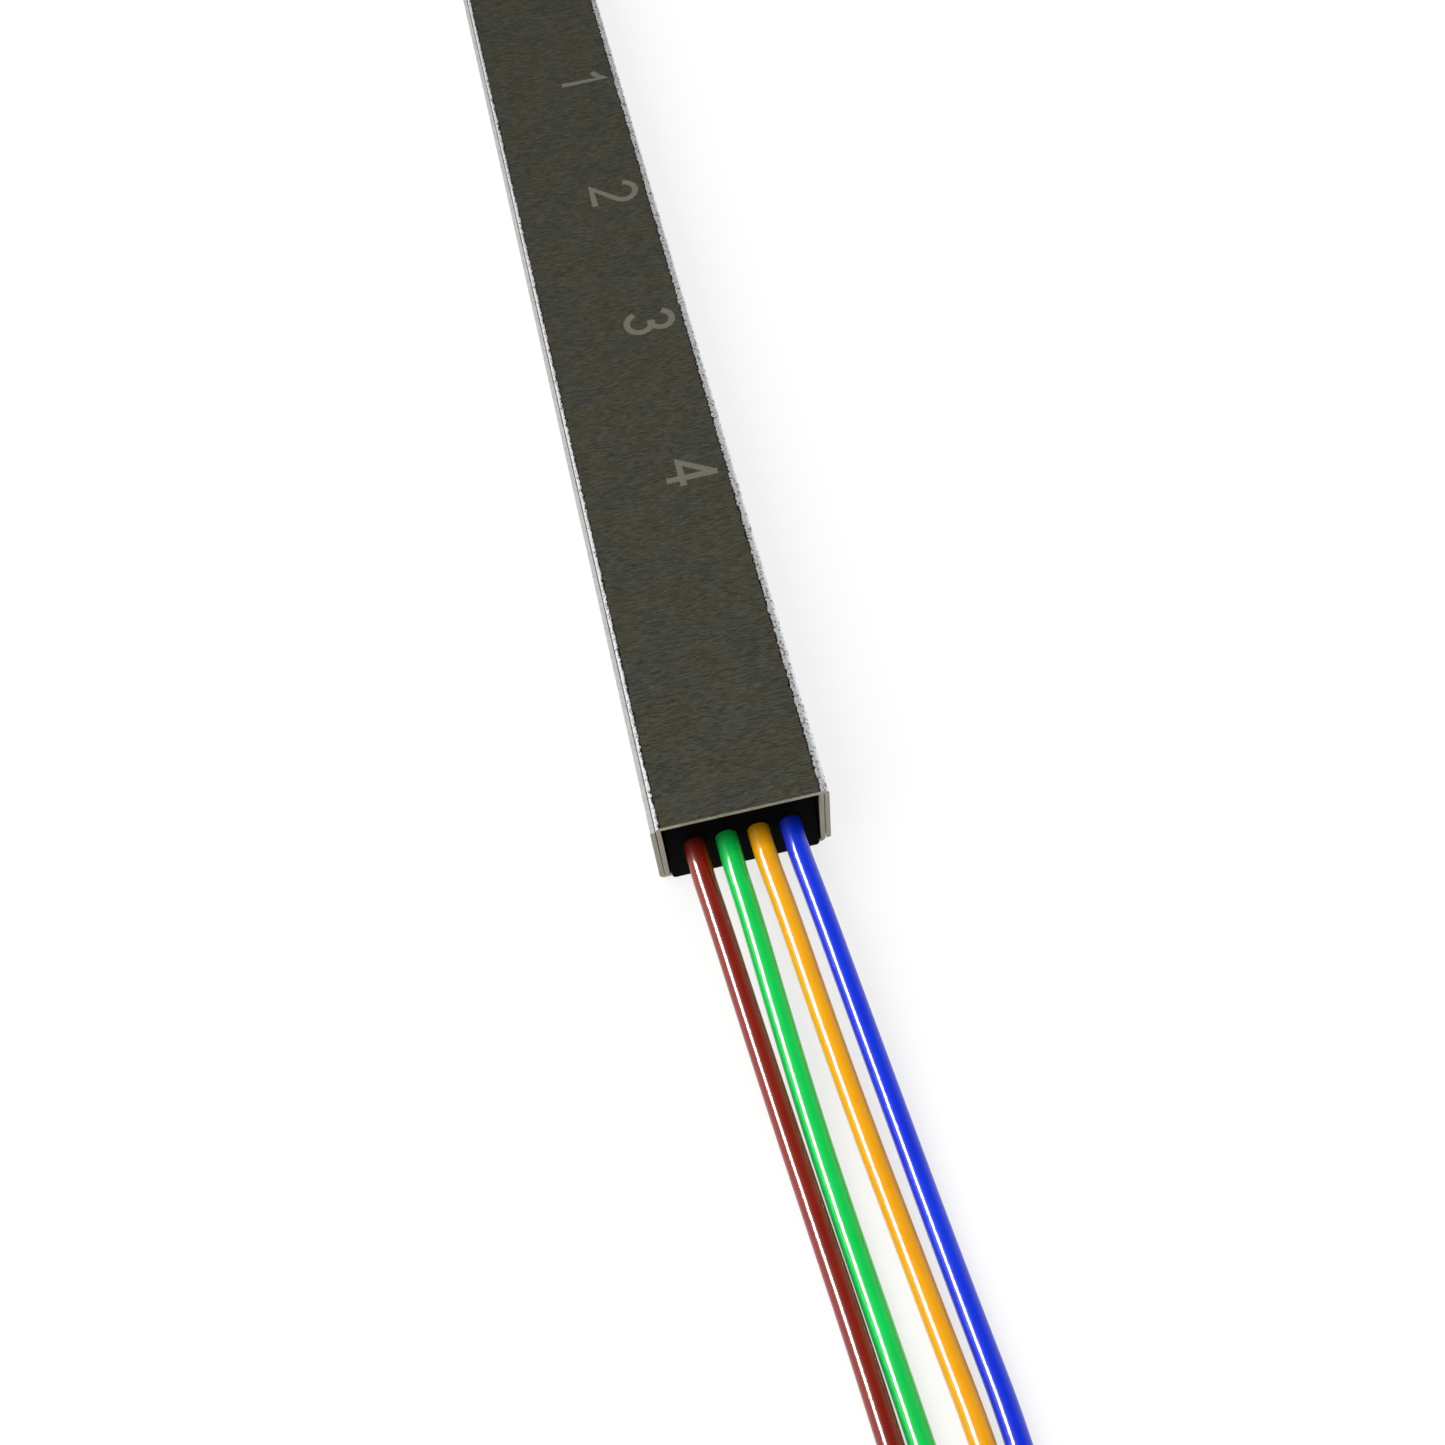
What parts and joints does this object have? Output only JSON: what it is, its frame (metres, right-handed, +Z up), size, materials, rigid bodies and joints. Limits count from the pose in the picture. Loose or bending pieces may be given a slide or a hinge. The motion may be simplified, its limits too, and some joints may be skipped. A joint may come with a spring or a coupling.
{
  "type": "plc fibre splitter",
  "caption": "Slim folded-steel tube that splits an optical fibre into coloured loose-tube leads, with a waveguide chip and fibre arrays inside and a rubber plug in each end",
  "frame": {"origin": "under the middle of the steel housing, on the surface that it stands on", "axes": "X across the housing, Y along it with the output leads towards -Y and the inlet towards +Y, Z up"},
  "size_m": [0.0181, 0.1456, 0.0079],
  "materials": {
    "stainless_sheet": "dark cross-brushed stainless sheet with bright folded bends",
    "plug_rubber": "moulded black rubber, dull",
    "chip_quartz": "sawn and polished quartz",
    "core_glass": "doped silica cores",
    "lid_glass": "sawn and polished clear glass",
    "array_glass": "grooved and polished clear glass",
    "epoxy": "cured amber epoxy, glossy",
    "silicone": "soft pale silicone",
    "fibre_coat_clear": "clear coated fibre",
    "tie_film": "translucent white film band",
    "fibre_coat_brown": "brown coated fibre",
    "lead_jacket_brown": "extruded brown loose tube, glossy",
    "fibre_coat_green": "green coated fibre",
    "lead_jacket_green": "extruded green loose tube, glossy",
    "fibre_coat_orange": "orange coated fibre",
    "lead_jacket_orange": "extruded orange loose tube, glossy",
    "fibre_coat_blue": "blue coated fibre",
    "lead_jacket_blue": "extruded blue loose tube, glossy"
  },
  "bodies": {
    "root": {"housing_base": "stainless_sheet", "housing_cover": "stainless_sheet", "output_plug": "plug_rubber", "input_plug": "plug_rubber", "splitter_chip": "chip_quartz", "waveguide_tree": "core_glass", "chip_lid_output": "lid_glass", "chip_lid_input": "lid_glass", "output_array_base": "array_glass", "output_array_lid": "lid_glass", "input_array_base": "array_glass", "input_array_lid": "lid_glass", "output_glue_bead": "epoxy", "input_glue_bead": "epoxy", "output_array_bed": "silicone", "input_array_bed": "silicone", "input_fibre": "fibre_coat_clear", "fibre_brown": "fibre_coat_brown", "held_lead_brown": "lead_jacket_brown", "lead_brown": "lead_jacket_brown", "coil_brown": "lead_jacket_brown", "coil_ties_brown": "tie_film", "fibre_green": "fibre_coat_green", "held_lead_green": "lead_jacket_green", "lead_green": "lead_jacket_green", "coil_green": "lead_jacket_green", "coil_ties_green": "tie_film", "fibre_orange": "fibre_coat_orange", "held_lead_orange": "lead_jacket_orange", "lead_orange": "lead_jacket_orange", "coil_orange": "lead_jacket_orange", "coil_ties_orange": "tie_film", "fibre_blue": "fibre_coat_blue", "held_lead_blue": "lead_jacket_blue", "lead_blue": "lead_jacket_blue", "coil_blue": "lead_jacket_blue", "coil_ties_blue": "tie_film"}
  },
  "joints": []
}
